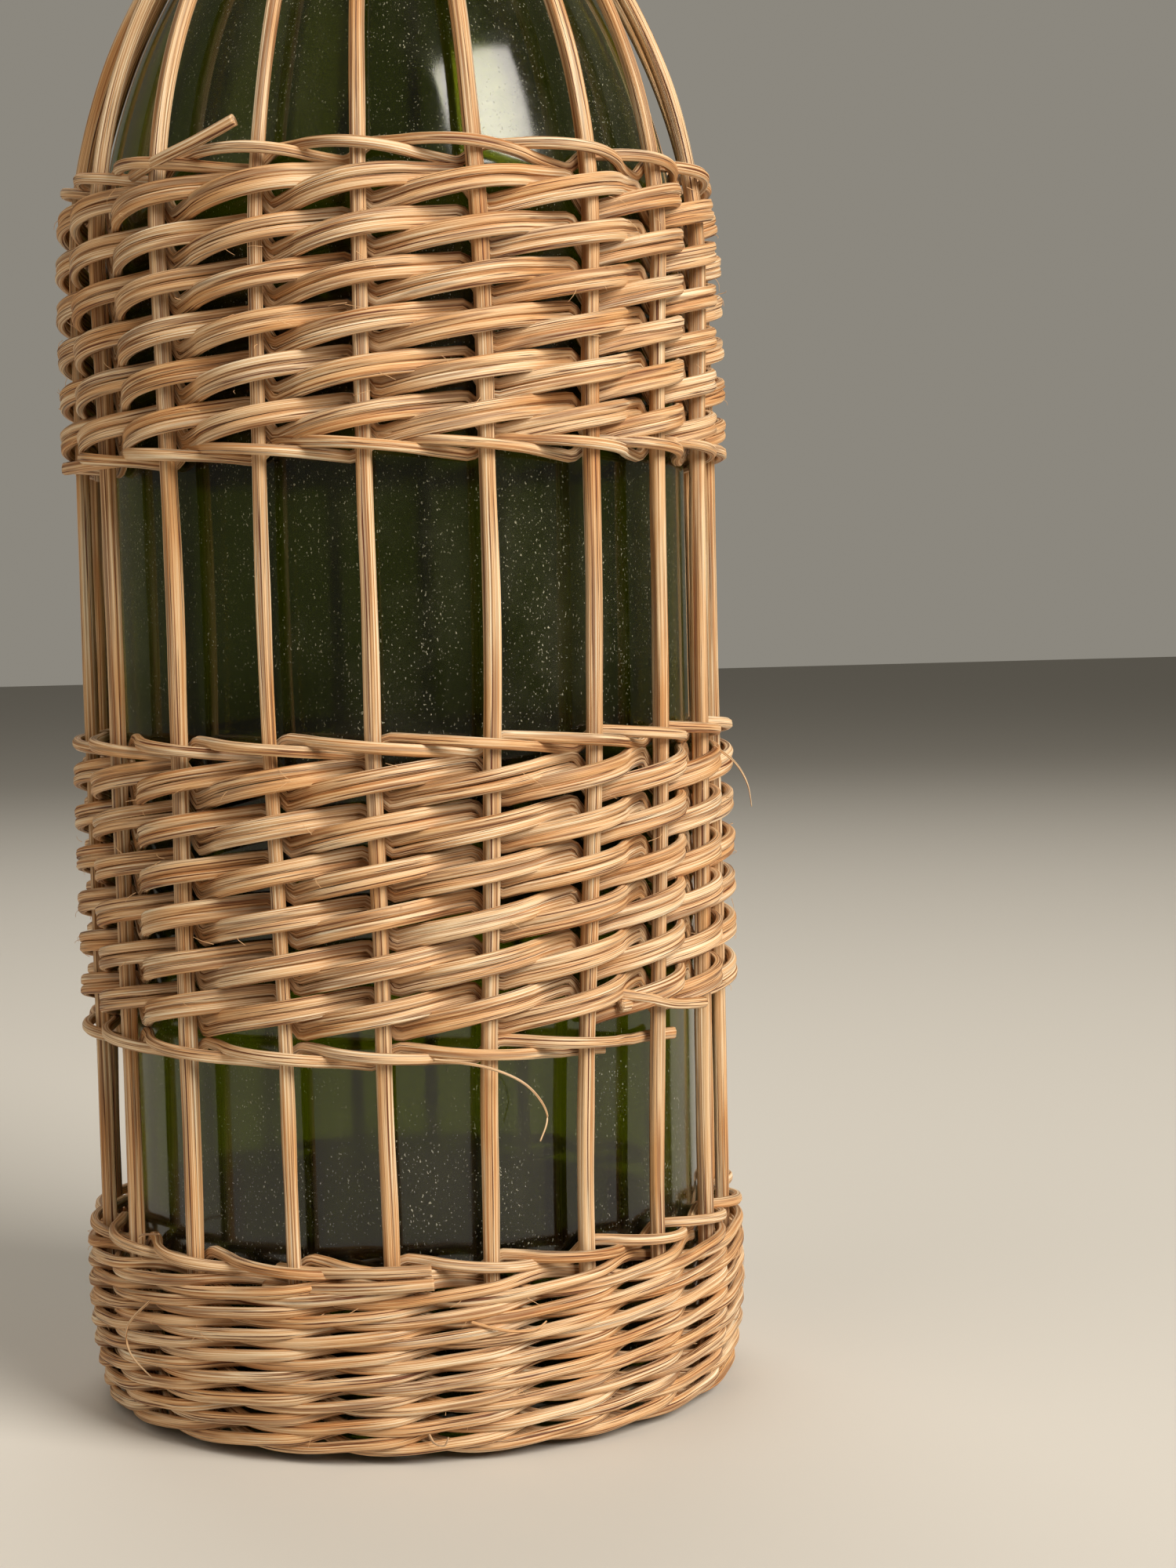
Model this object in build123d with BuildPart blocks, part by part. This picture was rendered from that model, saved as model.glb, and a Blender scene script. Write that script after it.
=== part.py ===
from build123d import *
import math
import os

# A wicker-covered wine flask: a green glass bottle with its cork, twenty upright cane
# stakes that follow the glass to its neck, and the canes woven round the stakes.
# The bottle stands on the origin with its neck along +Z and its front towards -Y.

# Glass bottle, in millimetres
body_radius = 49.0
body_height = 187.0
heel_radius = 10.0
shoulder_radius = 96.0
neck_sweep_radius = 47.0
neck_radius = 15.5
neck_length = 48.1
glass_wall = 2.8
floor_wall = 4.0
punt_radius = 33.0
punt_height = 14.0
rim_radius = 18.0
rim_height = 7.0
rim_drop = 9.0
lip_radius = 14.0
bore_radius = 9.5
bore_length = 27.0
bore_taper_length = 9.0

# Cork
cork_depth = 22.0
cork_head_height = 11.0
cork_head_overhang = 1.3
cork_bevel = 0.9
cork_fit = 0.05

# Canes
stake_count = 20
stake_diameter = 3.2
cane_diameter = 1.6
fine_cane_diameter = 1.2
glass_gap = 0.7
seat_gap = 0.1
strand_gap = 0.03
row_gap = 0.26

# Stakes
stake_foot = 1.3
heel_bend_height = 18.5
heel_bend_inset = 2.8
stake_top_length = 3.5

# Woven bands: the height of the first row's middle, and the rounds in each
wale_start = 2.9
wale_rounds = 8
waist_start = 71.2
waist_rounds = 6
upper_start = 162.3
upper_rounds = 6
collar_rounds = 4
collar_clearance = 2.2

# The place round the bottle, in stakes from the front one, where every band starts
seam_stake = 10
front_stake_angle = -95.0
step_stakes = 4
end_tuck_share = 0.06

# How far each stake strays from its even place, as shares of the stake spacing,
# at the foot, the waist and the shoulder, from the front stake round to the right
stray_shares = [
    (0.02, -0.02, -0.01), (-0.05, 0.12, 0.08), (-0.06, 0.21, 0.33), (-0.13, 0.15, 0.36),
    (-0.13, 0.08, 0.55), (-0.25, 0.06, 0.50), (-0.15, 0.04, 0.35), (-0.05, -0.05, 0.25),
    (0.04, 0.03, 0.12), (-0.05, 0.06, 0.00), (0.05, -0.04, -0.05), (-0.04, 0.05, -0.10),
    (0.06, -0.06, -0.15), (0.03, 0.04, -0.20), (-0.05, -0.05, -0.25), (0.00, -0.20, -0.30),
    (-0.05, -0.28, -0.28), (-0.05, -0.10, -0.33), (-0.06, -0.05, -0.22), (0.08, -0.03, 0.05),
]
stray_place_shares = (0.10, 0.46, 0.78)

# How thick each stake is, as shares of the full stake diameter
stake_size_shares = [
    1.00, 0.86, 0.92, 0.88, 0.96, 0.84, 0.94, 1.00, 0.88, 0.92,
    0.85, 0.97, 0.90, 0.94, 0.86, 1.00, 0.84, 0.94, 0.98, 0.96,
]

# A wale rod goes before two stakes and behind one. Six places over those three stakes:
# how far out it lies, as shares of the weaving depth, and how high, as shares of the cane
wale_out_shares = (1.0, 1.12, 1.09, 0.0, -1.0, -0.06)
wale_rise_shares = (0.0, 0.69, 1.02, 1.39, 0.85, 0.37)

# How far the wale's top rods reach up, as a share of the cane
wale_reach_share = 1.86

# A doubled cane's two strands lie a little further apart because they slope
slope_share = 1.09

# Sizes that follow
stake_circle = body_radius + glass_gap + cane_diameter + seat_gap + stake_diameter / 2
stake_offset = stake_circle - body_radius
weave_depth = (stake_diameter + cane_diameter) / 2 + seat_gap
fine_depth = (stake_diameter + fine_cane_diameter) / 2 + seat_gap
spacing = 360.0 / stake_count
strand_step = (cane_diameter + strand_gap) * slope_share
pair_height = strand_step + cane_diameter + strand_gap
row_pitch = 2 * pair_height + row_gap
wale_pitch = 2 * (cane_diameter + strand_gap) + row_gap / 4
border_height = cane_diameter + strand_gap
border_reach = pair_height + border_height + row_gap / 2
wale_border_reach = wale_reach_share * cane_diameter + border_height + row_gap / 3
fine_height = fine_cane_diameter + 2 * strand_gap
fine_pitch = 2 * fine_height + row_gap / 2
shoulder_turn = math.acos(1 - (body_radius - neck_radius) / (shoulder_radius + neck_sweep_radius))
neck_height = body_height + (shoulder_radius + neck_sweep_radius) * math.sin(shoulder_turn)
neck_top = neck_height + neck_length

# The stake line: heel bend, straight side, shoulder arc, neck arc, straight neck
heel_rise = heel_bend_height - stake_foot
heel_turn = 2 * math.atan(heel_bend_inset / heel_rise)
heel_bend_radius = heel_rise / math.sin(heel_turn)
outer_shoulder = shoulder_radius + stake_offset
outer_neck = neck_sweep_radius - stake_offset
collar_height = collar_rounds * fine_pitch
rail_lengths = (
    heel_bend_radius * heel_turn,
    body_height - heel_bend_height,
    outer_shoulder * shoulder_turn,
    outer_neck * shoulder_turn,
    collar_clearance + collar_height + stake_top_length,
)
rail_length = sum(rail_lengths)
heel_slack = rail_lengths[0] - heel_bend_height


def rail(along):
    """Radius, height and inward lean of the stake line, `along` it from the stake's foot."""
    heel, side, shoulder, neck, _ = rail_lengths
    if along < heel:
        lean = (along - heel) / heel_bend_radius
        radius = stake_circle - heel_bend_radius * (1 - math.cos(lean))
        return radius, heel_bend_height + heel_bend_radius * math.sin(lean), lean
    along -= heel
    if along < side:
        return stake_circle, heel_bend_height + along, 0.0
    along -= side
    if along < shoulder:
        lean = along / outer_shoulder
        radius = stake_circle - outer_shoulder * (1 - math.cos(lean))
        return radius, body_height + outer_shoulder * math.sin(lean), lean
    along -= shoulder
    lean = max(shoulder_turn - along / outer_neck, 0.0)
    top = body_height + (outer_shoulder + outer_neck) * math.sin(shoulder_turn)
    radius = neck_radius + stake_offset + outer_neck * (1 - math.cos(lean))
    height = top - outer_neck * math.sin(lean)
    return radius, height + max(along - neck, 0.0), lean


def ease(share):
    """A smooth step from 0 to 1."""
    share = min(max(share, 0.0), 1.0)
    return share * share * (3 - 2 * share)


def stake_stray(stake, along):
    """One stake's stray from its even place, in stakes, at a place along it."""
    foot, waist, shoulder = stray_shares[stake % len(stray_shares)]
    low, middle, high = (share * rail_length for share in stray_place_shares)
    if along < middle:
        return foot + (waist - foot) * ease((along - low) / (middle - low))
    if along < high:
        return waist + (shoulder - waist) * ease((along - middle) / (high - middle))
    return shoulder * (1 - ease((along - high) / (rail_length - rail_lengths[-1] - high)))


def place(stake, along, out=0.0):
    """The point `out` from the stake line, at any place between or at the stakes."""
    before = math.floor(stake)
    blend = ease(stake - before)
    stray = stake_stray(before, along) * (1 - blend) + stake_stray(before + 1, along) * blend
    radius, height, lean = rail(along)
    radius += out * math.cos(lean)
    height += out * math.sin(lean)
    angle = math.radians(front_stake_angle + spacing * (stake + stray))
    return Vector(radius * math.cos(angle), radius * math.sin(angle), height)


def arc(start, way, end):
    """An arc that leaves start in the given direction, or a line where it wouldn't bend."""
    chord = end - start
    if way.cross(chord).length < 1e-6 * chord.length:
        return Edge.make_line(start, end)
    return Edge.make_tangent_arc(start, way, end)


def biarc(start, start_way, end, end_way):
    """Two arcs that join two points in the given directions."""
    chord = end - start
    spread = 2 * (1 - start_way.dot(end_way))
    run = chord.dot(start_way + end_way)
    if spread < 1e-9:
        reach = chord.dot(chord) / (2 * run)
    else:
        reach = (math.sqrt(run * run + spread * chord.dot(chord)) - run) / spread
    middle = (start + end + (start_way - end_way) * reach) * 0.5
    middle_way = (end - end_way * reach) - (start + start_way * reach)
    return [arc(start, start_way, middle), arc(middle, middle_way.normalized(), end)]


def sweep_cane(course, stops, diameter):
    """A round cane along course(t), which gives a point, through the listed stops."""
    nudge = (stops[1] - stops[0]) / 500
    points = [course(stop) for stop in stops]
    ways = [(course(stop + nudge) - course(stop - nudge)).normalized() for stop in stops]
    edges = []
    for first in range(len(stops) - 1):
        second = first + 1
        edges += biarc(points[first], ways[first], points[second], ways[second])
    with BuildPart() as cane:
        with BuildSketch(Plane(origin=points[0], z_dir=ways[0])):
            Circle(diameter / 2)
        sweep(path=Wire(edges))
    return cane.part


def even_stops(start, end, longest):
    """Evenly spaced stops from start to end, no further apart than `longest`."""
    steps = math.ceil((end - start) / longest)
    return [start + (end - start) * step / steps for step in range(steps + 1)]


def save(piece, name):
    piece.label = name
    export_step(piece, f"parts/{name}.step")


os.makedirs("parts", exist_ok=True)

# The glass: one blown shell with a pushed-up base, a string rim and a lip
punt_dome = (punt_radius ** 2 + punt_height ** 2) / (2 * punt_height)
inner_dome = punt_dome + floor_wall
dome_drop = punt_dome - punt_height
dome_edge = math.sqrt(inner_dome ** 2 - (floor_wall + dome_drop) ** 2)
inner_heel = heel_radius - glass_wall
bore_bottom = neck_top - bore_length
inner_neck = neck_radius - glass_wall
with BuildPart() as glass_bottle:
    with BuildSketch(Plane.XZ):
        with BuildLine():
            Line((0, punt_height), (0, neck_top))
            Line((0, neck_top), (lip_radius, neck_top))
            Line((lip_radius, neck_top), (lip_radius, neck_top - rim_drop))
            Line((lip_radius, neck_top - rim_drop), (neck_radius, neck_top - rim_drop))
            Line((neck_radius, neck_top - rim_drop), (neck_radius, neck_height))
            shoulder = JernArc(
                (body_radius, body_height), (0, 1), shoulder_radius, math.degrees(shoulder_turn)
            )
            JernArc(shoulder @ 1, shoulder % 1, neck_sweep_radius, -math.degrees(shoulder_turn))
            Line((body_radius, body_height), (body_radius, heel_radius))
            JernArc((body_radius - heel_radius, 0), (1, 0), heel_radius, 90)
            Line((body_radius - heel_radius, 0), (punt_radius, 0))
            RadiusArc((punt_radius, 0), (0, punt_height), -punt_dome)
        make_face()
    revolve(axis=Axis.Z)
    with BuildSketch(Plane.XZ):
        with Locations((neck_radius, neck_top - rim_drop)):
            RectangleRounded(2 * (rim_radius - neck_radius), rim_height, rim_height / 3)
    revolve(axis=Axis.Z)
    lip_edges = glass_bottle.edges().filter_by(GeomType.CIRCLE).group_by(Axis.Z)[-1]
    fillet(lip_edges.sort_by(SortBy.RADIUS)[-1], (lip_radius - bore_radius) / 3)
    with BuildSketch(Plane.XZ):
        with BuildLine():
            Line((0, inner_dome - dome_drop), (0, neck_top))
            Line((0, neck_top), (bore_radius, neck_top))
            Line((bore_radius, neck_top), (bore_radius, bore_bottom))
            Line((bore_radius, bore_bottom), (inner_neck, bore_bottom - bore_taper_length))
            Line((inner_neck, bore_bottom - bore_taper_length), (inner_neck, neck_height))
            hollow_shoulder = JernArc(
                (body_radius - glass_wall, body_height),
                (0, 1),
                shoulder_radius - glass_wall,
                math.degrees(shoulder_turn),
            )
            JernArc(
                hollow_shoulder @ 1,
                hollow_shoulder % 1,
                neck_sweep_radius + glass_wall,
                -math.degrees(shoulder_turn),
            )
            Line(
                (body_radius - glass_wall, body_height),
                (body_radius - glass_wall, floor_wall + inner_heel),
            )
            JernArc((body_radius - heel_radius, floor_wall), (1, 0), inner_heel, 90)
            Line((body_radius - heel_radius, floor_wall), (dome_edge, floor_wall))
            RadiusArc((dome_edge, floor_wall), (0, inner_dome - dome_drop), -inner_dome)
        make_face()
    revolve(axis=Axis.Z, mode=Mode.SUBTRACT)
save(glass_bottle.part, "glass_bottle")

# The cork: a straight shank in the bore and a head that rests on the lip
with BuildPart() as cork_stopper:
    with BuildSketch(Plane.XY.offset(neck_top - cork_depth)):
        Circle(bore_radius - cork_fit)
    extrude(amount=cork_depth + cork_fit)
    with BuildSketch(Plane.XY.offset(neck_top + cork_fit)):
        Circle(bore_radius + cork_head_overhang)
    extrude(amount=cork_head_height)
    cork_ends = cork_stopper.faces().filter_by(Axis.Z).sort_by(Axis.Z)
    chamfer([*cork_ends[0].edges(), *cork_ends[-1].edges()], cork_bevel)
save(cork_stopper.part, "cork_stopper")

# The stakes, from their cut feet under the wale to their cut tops over the collar
rail_steps = (2, 9, 5, 4, 2)
stake_stops = [0.0]
for length, steps in zip(rail_lengths, rail_steps):
    stake_stops += even_stops(stake_stops[-1], stake_stops[-1] + length, length / steps * 1.01)[1:]
for stake in range(stake_count):
    stake_part = sweep_cane(
        lambda along: place(stake, along),
        stake_stops,
        stake_diameter * stake_size_shares[stake % len(stake_size_shares)],
    )
    save(stake_part, f"stake_{stake + 1:02d}")


def climb(stakes, rounds):
    """Rounds climbed: each round is level, then steps up to the next at the seam."""
    whole = min(max(math.floor(stakes / stake_count), 0), rounds - 1)
    left = stakes - whole * stake_count
    return whole + ease((left - stake_count + step_stakes) / step_stakes) * (rounds > 1)


def sway(shares, stakes, period):
    """A smooth repeating curve through evenly spaced shares."""
    count = len(shares)
    step = (stakes % period) / period * count
    first = math.floor(step)
    part = step - first
    before, here, after, later = (shares[(first + shift) % count] for shift in (-1, 0, 1, 2))
    bend = 2 * before - 5 * here + 4 * after - later
    twist = 3 * here - before - 3 * after + later
    return here + ((after - before) * part + bend * part ** 2 + twist * part ** 3) / 2


def pairing(name, start, rounds, pitch, half_rise, depth, diameter, offsets):
    """Two groups of canes that cross between every two stakes, before one and behind one.

    half_rise is how far a stroke climbs each side of its stake, and offsets are the
    heights of the strands in a group.
    """
    number = 0
    for group in (0, 1):
        for offset in offsets:
            number += 1
            first = 1 - group + end_tuck_share
            if rounds > 1:
                last = rounds * stake_count - step_stakes + group - 1 - end_tuck_share
            else:
                last = first + stake_count - 2 * end_tuck_share

            def course(stakes):
                along = start + pitch * climb(stakes, rounds) + offset
                phase = math.pi * (stakes + group)
                return place(
                    seam_stake + stakes, along + half_rise * math.sin(phase), depth * math.cos(phase)
                )

            weaver = sweep_cane(course, even_stops(first, last, 0.5), diameter)
            save(weaver, f"{name}_{number}")


def doubled_band(name, start, rounds):
    """Rows of doubled canes between two single-cane borders that slope the other way."""
    pair = (-strand_step / 2, strand_step / 2)
    pairing(
        f"{name}_weaver", start, rounds, row_pitch, pair_height / 2, weave_depth, cane_diameter, pair
    )
    top = start + (rounds - 1) * row_pitch
    for side, level in (("lower", start - border_reach), ("upper", top + border_reach)):
        border(f"{name}_{side}_border", level)


def border(name, level):
    pairing(name, level, 1, 0.0, -border_height / 2, weave_depth, cane_diameter, (0.0,))


# The wale round the base: three rods, each before two stakes and behind one
for rod in range(3):
    first_stake = (rod + 2) % 3 + end_tuck_share
    level_stakes = wale_rounds * stake_count - step_stakes
    last_stake = level_stakes - (level_stakes - rod - 2) % 3 - end_tuck_share

    def wale_course(stakes):
        rise = cane_diameter * sway(wale_rise_shares, stakes - rod, 3)
        along = wale_start + wale_pitch * climb(stakes, wale_rounds) + rise
        out = weave_depth * sway(wale_out_shares, stakes - rod, 3)
        return place(seam_stake + stakes, along + heel_slack, out)

    wale_rod = sweep_cane(wale_course, even_stops(first_stake, last_stake, 0.5), cane_diameter)
    save(wale_rod, f"wale_rod_{rod + 1}")
wale_top = wale_start + (wale_rounds - 1) * wale_pitch + wale_border_reach + heel_slack
border("wale_border", wale_top)

# The two bands of doubled pairing, and the collar that gathers the stakes at the neck
doubled_band("waist", waist_start + heel_slack, waist_rounds)
doubled_band("upper", upper_start + heel_slack, upper_rounds)
collar_start = rail_length - rail_lengths[-1] + collar_clearance + fine_height
pairing(
    "collar_weaver",
    collar_start,
    collar_rounds,
    fine_pitch,
    fine_height / 2,
    fine_depth,
    fine_cane_diameter,
    (0.0,),
)
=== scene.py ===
import math
import random

import bmesh
import bpy
import numpy as np
from mathutils import Matrix, Vector, noise


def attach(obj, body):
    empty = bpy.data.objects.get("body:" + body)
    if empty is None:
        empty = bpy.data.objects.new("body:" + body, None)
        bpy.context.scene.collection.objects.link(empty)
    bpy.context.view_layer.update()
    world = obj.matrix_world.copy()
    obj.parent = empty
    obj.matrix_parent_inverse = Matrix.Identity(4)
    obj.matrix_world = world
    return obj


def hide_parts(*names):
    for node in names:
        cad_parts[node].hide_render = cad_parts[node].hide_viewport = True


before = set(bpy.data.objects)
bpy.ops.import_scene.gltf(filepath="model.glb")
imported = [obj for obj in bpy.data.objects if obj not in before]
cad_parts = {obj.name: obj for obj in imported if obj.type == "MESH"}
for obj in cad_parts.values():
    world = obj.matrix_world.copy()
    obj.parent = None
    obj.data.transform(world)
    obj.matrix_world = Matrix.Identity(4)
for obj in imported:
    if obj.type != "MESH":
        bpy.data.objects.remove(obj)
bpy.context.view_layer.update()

MM = 0.001

# Wine bottle. Blown dark green glass, thick and a little uneven inside, with a pushed-up
# base, a string rim and a plain lip. It stands on the ring round the push-up, and years of
# dust and dried drips dull its outside.
body_radius, body_height = 49.0 * MM, 187.0 * MM
heel_radius, shoulder_radius, neck_sweep_radius = 10.0 * MM, 96.0 * MM, 47.0 * MM
neck_radius, neck_length = 15.5 * MM, 48.1 * MM
glass_wall, floor_wall = 2.8 * MM, 4.0 * MM
punt_radius, punt_height = 33.0 * MM, 14.0 * MM
rim_height, rim_drop, rim_skirt, rim_step = 7.0 * MM, 9.0 * MM, 6.0 * MM, 0.4 * MM
lip_radius, lip_round = 14.0 * MM, 1.5 * MM
bore_radius, bore_chamfer, bore_length, bore_taper = 9.5 * MM, 0.6 * MM, 27.0 * MM, 9.0 * MM
shoulder_turn = math.acos(1 - (body_radius - neck_radius) / (shoulder_radius + neck_sweep_radius))
neck_height = body_height + (shoulder_radius + neck_sweep_radius) * math.sin(shoulder_turn)
neck_top = neck_height + neck_length


def arc_points(centre, radius, start, end, count):
    """Points on an arc about a centre, from one angle to another, in the profile plane."""
    turns = [start + (end - start) * step / count for step in range(count + 1)]
    return [(centre[0] + radius * math.cos(t), centre[1] + radius * math.sin(t)) for t in turns]


def wall_profile(inset, floor):
    """The bottle's side from heel to neck, drawn in by a wall's thickness."""
    heel_centre = (body_radius - heel_radius, floor + heel_radius - inset)
    shoulder_centre = (body_radius - shoulder_radius, body_height)
    sweep_centre = (neck_radius + neck_sweep_radius, neck_height)
    sweep_start = math.pi + shoulder_turn
    heel = arc_points(heel_centre, heel_radius - inset, -math.pi / 2, 0, count=12)
    side = [(body_radius - inset, body_height * share) for share in (0.2, 0.4, 0.6, 0.8)]
    shoulder = arc_points(shoulder_centre, shoulder_radius - inset, 0, shoulder_turn, count=28)
    neck = arc_points(sweep_centre, neck_sweep_radius + inset, sweep_start, math.pi, count=18)
    return heel + side + shoulder + neck[1:]


punt_dome = (punt_radius ** 2 + punt_height ** 2) / (2 * punt_height)
dome_centre = (0.0, punt_height - punt_dome)
inner_dome = punt_dome + floor_wall
dome_edge = math.sqrt(inner_dome ** 2 - (floor_wall - dome_centre[1]) ** 2)
outer_turn = math.atan2(-dome_centre[1], punt_radius)
inner_turn = math.atan2(floor_wall - dome_centre[1], dome_edge)
rim_base = neck_top - rim_drop
rim_round = rim_height / 2
lip_centre = (lip_radius - lip_round, neck_top - lip_round)
outer_line = (
    arc_points(dome_centre, punt_dome, math.pi / 2, outer_turn, count=14)
    + wall_profile(0.0, 0.0)
    + [(neck_radius, rim_base - rim_round - rim_skirt), (neck_radius, rim_base - rim_round)]
    + arc_points((neck_radius, rim_base), rim_round, -math.pi / 2, math.pi / 2, count=12)
    + [(lip_radius, rim_base + rim_round + rim_step), (lip_radius, neck_top - lip_round)]
    + arc_points(lip_centre, lip_round, 0, math.pi / 2, count=6)
    + [(bore_radius + bore_chamfer, neck_top)]
)
inner_line = (
    [(bore_radius, neck_top - bore_chamfer), (bore_radius, neck_top - bore_length)]
    + [(neck_radius - glass_wall, neck_top - bore_length - bore_taper)]
    + wall_profile(glass_wall, floor_wall)[::-1]
    + arc_points(dome_centre, inner_dome, inner_turn, math.pi / 2, count=14)
)


def add_object(name, data):
    """A linked object that stands at the origin."""
    made = bpy.data.objects.new(name, data)
    bpy.context.collection.objects.link(made)
    return made


def finish_mesh(name, bm, smooth=True):
    """Turns a bmesh into an object, with smooth faces unless it is flat."""
    mesh = bpy.data.meshes.new(name)
    bm.to_mesh(mesh)
    bm.free()
    mesh.polygons.foreach_set("use_smooth", [smooth] * len(mesh.polygons))
    return add_object(name, mesh)


def spin_solid(name, steps, line, inner_line=()):
    """A closed solid spun from a profile that starts and ends on the axis.

    The attribute "inside" is 1 on the points of the inner line and 0 elsewhere.
    """
    merge_distance = 0.02 * MM
    bm = bmesh.new()
    inside = bm.verts.layers.float.new("inside")
    verts = [bm.verts.new((radius, 0.0, height)) for radius, height in [*line, *inner_line]]
    for vert in verts[len(line):]:
        vert[inside] = 1.0
    edges = [bm.edges.new(pair) for pair in zip(verts, verts[1:])]
    bmesh.ops.spin(
        bm, geom=verts + edges, cent=(0, 0, 0), axis=(0, 0, 1), angle=2 * math.pi,
        steps=steps, use_merge=True,
    )
    bmesh.ops.remove_doubles(bm, verts=bm.verts, dist=merge_distance)
    bmesh.ops.recalc_face_normals(bm, faces=bm.faces)
    return finish_mesh(name, bm)


def wave(spot, width, length, start=0.0):
    """A smooth random number whose waves have a width across and a length up the bottle."""
    return noise.noise((spot.x / width, spot.y / width, spot.z / length + start))


bottle = spin_solid("blown_bottle", 144, outer_line, inner_line)
inside_marks = bottle.data.attributes["inside"].data
streak_width, streak_length, inner_streak, outer_streak = 17 * MM, 110 * MM, 0.45 * MM, 0.05 * MM
swell_width, swell_length, swell_depth = 55 * MM, 70 * MM, 0.12 * MM
even_radius, even_foot = 1.2 * bore_radius, 20 * MM
for vert in bottle.data.vertices:
    radius = math.hypot(vert.co.x, vert.co.y)
    if radius < even_radius or vert.co.z > neck_height:
        continue
    outward = Vector((vert.co.x, vert.co.y, 0)) / radius
    depth = inner_streak if inside_marks[vert.index].value > 0.5 else outer_streak
    streak = depth * wave(vert.co, streak_width, streak_length, start=5.0)
    swell = swell_depth * wave(vert.co, swell_width, swell_length)
    vert.co += outward * min(vert.co.z / even_foot, 1) * (streak + swell)


def linear(hex_colour):
    """An sRGB hex colour as the linear RGBA that nodes take."""
    shares = [int(hex_colour[first:first + 2], 16) / 255 for first in (0, 2, 4)]
    return [s / 12.92 if s <= 0.04045 else ((s + 0.055) / 1.055) ** 2.4 for s in shares] + [1.0]


def wire(tree, target, settings, stops=()):
    """Sets a node's properties, inputs and ramp stops, and gives the node back.

    An input goes by its name, or by its number where names repeat. It is linked if its value
    is a socket, or a node, whose first output is taken. A stop's colour is hex or a grey.
    """
    for key, value in settings.items():
        if isinstance(value, bpy.types.Node):
            value = value.outputs[0]
        if isinstance(value, bpy.types.NodeSocket):
            tree.links.new(value, target.inputs[key])
        elif isinstance(key, int) or key in target.inputs:
            target.inputs[key].default_value = value
        else:
            setattr(target, key, value)
    for number, (position, value) in enumerate(stops):
        elements = target.color_ramp.elements
        element = elements[number] if number < len(elements) else elements.new(position)
        element.position = position
        element.color = linear(value) if isinstance(value, str) else (value, value, value, 1)
    return target


def node(tree, kind, settings=None, stops=()):
    """Adds a node with its settings, links and ramp stops."""
    return wire(tree, tree.nodes.new(kind), settings or {}, stops)


def new_material(name):
    """A material, its node tree and its Principled shader."""
    material = bpy.data.materials.new(name)
    material.use_nodes = True
    return material, material.node_tree, material.node_tree.nodes["Principled BSDF"]


def per(*sizes):
    """The scale of a pattern whose marks have these sizes."""
    return [1 / size for size in sizes]


# Bottle-green soda-lime glass, blown: clear but deep, with an IOR of 1.52. Dust lies on the
# outside in fine specks, cloudy patches and faint upright drips, which dull it there.
drip_width, drip_length, film_size = 9 * MM, 85 * MM, 26 * MM
speck_width, speck_length = 0.28 * MM, 0.48 * MM
glass, tree, shader = new_material("dusty_green_blown_glass")
coords = node(tree, "ShaderNodeTexCoord").outputs["Object"]
drip_coords = node(tree, "ShaderNodeMapping", {
    "Vector": coords, "Scale": per(drip_width, drip_width, drip_length),
})
drips = node(tree, "ShaderNodeTexNoise", {
    "Vector": drip_coords, "Scale": 1.0, "Detail": 6.0, "Roughness": 0.65,
})
film = node(tree, "ShaderNodeTexNoise", {
    "Vector": coords, "Scale": 1 / film_size, "Detail": 8.0, "Roughness": 0.7,
})
speck_coords = node(tree, "ShaderNodeMapping", {
    "Vector": coords, "Scale": per(speck_width, speck_width, speck_length),
})
grit = node(tree, "ShaderNodeTexNoise", {
    "Vector": speck_coords, "Scale": 1.0, "Detail": 2.0, "Roughness": 0.5,
})
speck = node(tree, "ShaderNodeValToRGB", {"Fac": grit}, [(0.655, 0.0), (0.70, 0.9)])
dusty_part = node(tree, "ShaderNodeValToRGB", {"Fac": film}, [(0.40, 0.15), (0.60, 1.0)])
specks = node(tree, "ShaderNodeMath", {"operation": "MULTIPLY", 0: speck, 1: dusty_part})
cloud = node(tree, "ShaderNodeValToRGB", {"Fac": film}, [(0.48, 0.0), (0.76, 0.04)])
haze = node(tree, "ShaderNodeValToRGB", {"Fac": drips}, [(0.50, 0.0), (0.76, 0.03)])
soft = node(tree, "ShaderNodeMath", {"operation": "ADD", 0: cloud, 1: haze})
dust = node(tree, "ShaderNodeMath", {"operation": "ADD", "use_clamp": True, 0: specks, 1: soft})
inside = node(tree, "ShaderNodeAttribute", {"attribute_name": "inside"}).outputs["Fac"]
outside = node(tree, "ShaderNodeMapRange", {"Value": inside, "To Min": 1.0, "To Max": 0.0})
lying = node(tree, "ShaderNodeMath", {"operation": "MULTIPLY", 0: dust, 1: outside})
rough = node(tree, "ShaderNodeValToRGB", {"Fac": film}, [(0.35, 0.04), (0.70, 0.20)])
wire(tree, shader, {
    "Base Color": linear("7A841C"), "IOR": 1.52, "Transmission Weight": 1.0, "Roughness": rough,
})
dull = node(tree, "ShaderNodeBsdfPrincipled", {"Base Color": linear("A6A48A"), "Roughness": 0.85})
mix = node(tree, "ShaderNodeMixShader", {0: lying, 1: shader, 2: dull})
wire(tree, tree.nodes["Material Output"], {"Surface": mix})
bottle.data.materials.append(glass)
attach(bottle, "flask")
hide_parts("glass_bottle")

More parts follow.
